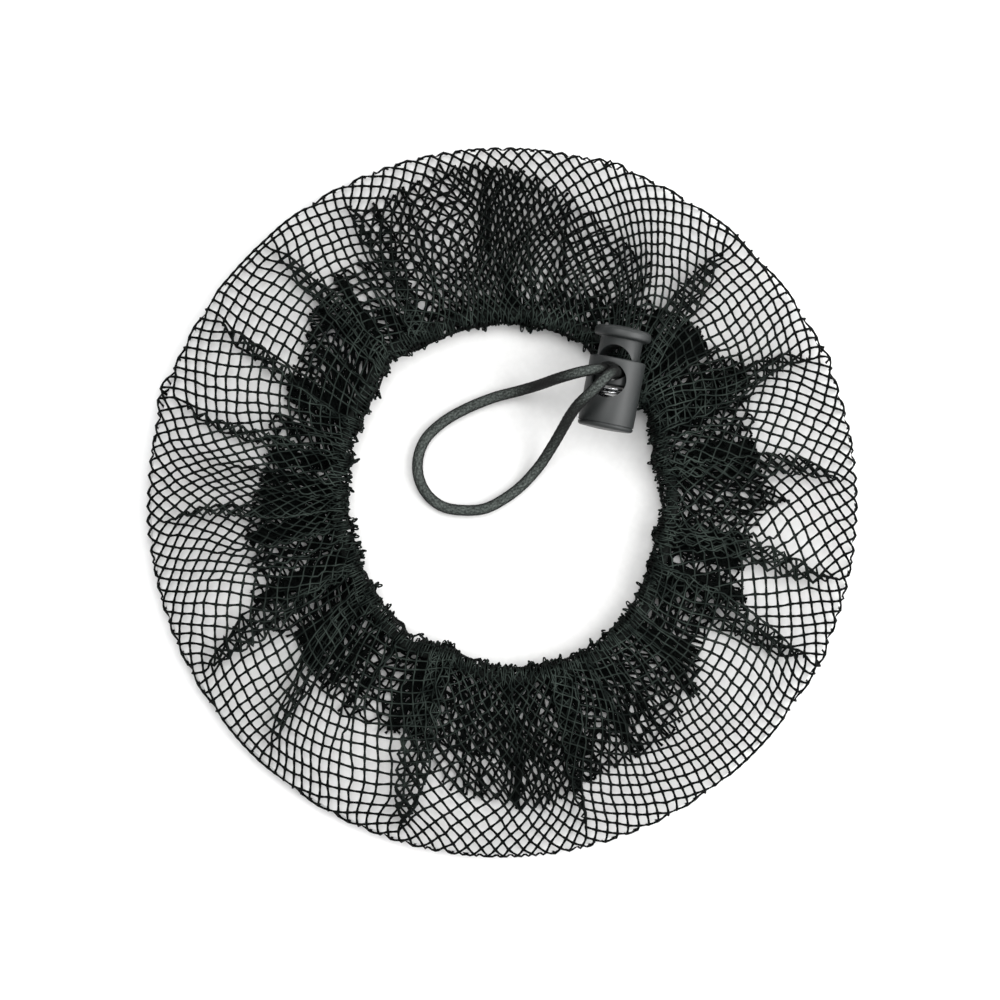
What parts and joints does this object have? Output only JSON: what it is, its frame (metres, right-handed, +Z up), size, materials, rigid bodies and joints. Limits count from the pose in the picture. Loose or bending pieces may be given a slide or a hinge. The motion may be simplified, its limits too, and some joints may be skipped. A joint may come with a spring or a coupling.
{
  "type": "hair bun net on round display card",
  "caption": "Round gathered hair net kept over a white display card, drawn in by a cord whose loop ends in a spring cord lock.",
  "frame": {"origin": "centre of the net's underside, on the surface that it lies on", "axes": "+Z up out of the card's face, +Y towards the top of the picture, so that the cord lock lies at the upper right of the opening"},
  "size_m": [0.155, 0.155, 0.027],
  "materials": {
    "net_thread": "near-black twisted net thread, knotted, dull",
    "card_board": "white paper board, matte",
    "braided_cord": "round braided cord, dark grey-green",
    "lock_plastic": "moulded black plastic, satin",
    "spring_wire": "bright spring wire"
  },
  "bodies": {
    "net_on_card": {"net_face": "net_thread", "net_skirt": "net_thread", "net_hem": "net_thread", "display_card": "card_board", "gather_cord": "braided_cord", "cord_loop": "braided_cord", "toggle_barrel": "lock_plastic", "toggle_spring": "spring_wire"},
    "lock_plunger": {"toggle_plunger": "lock_plastic"}
  },
  "joints": [
    {"name": "plunger_press", "type": "slide", "parent": "net_on_card", "child": "lock_plunger", "axis": [-0.1908, -0.9816, 0], "range_m": [0, 0.0038], "stiffness_N_per_m": 400, "springref_m": -0.003, "deforming": ["toggle_spring"]}
  ]
}
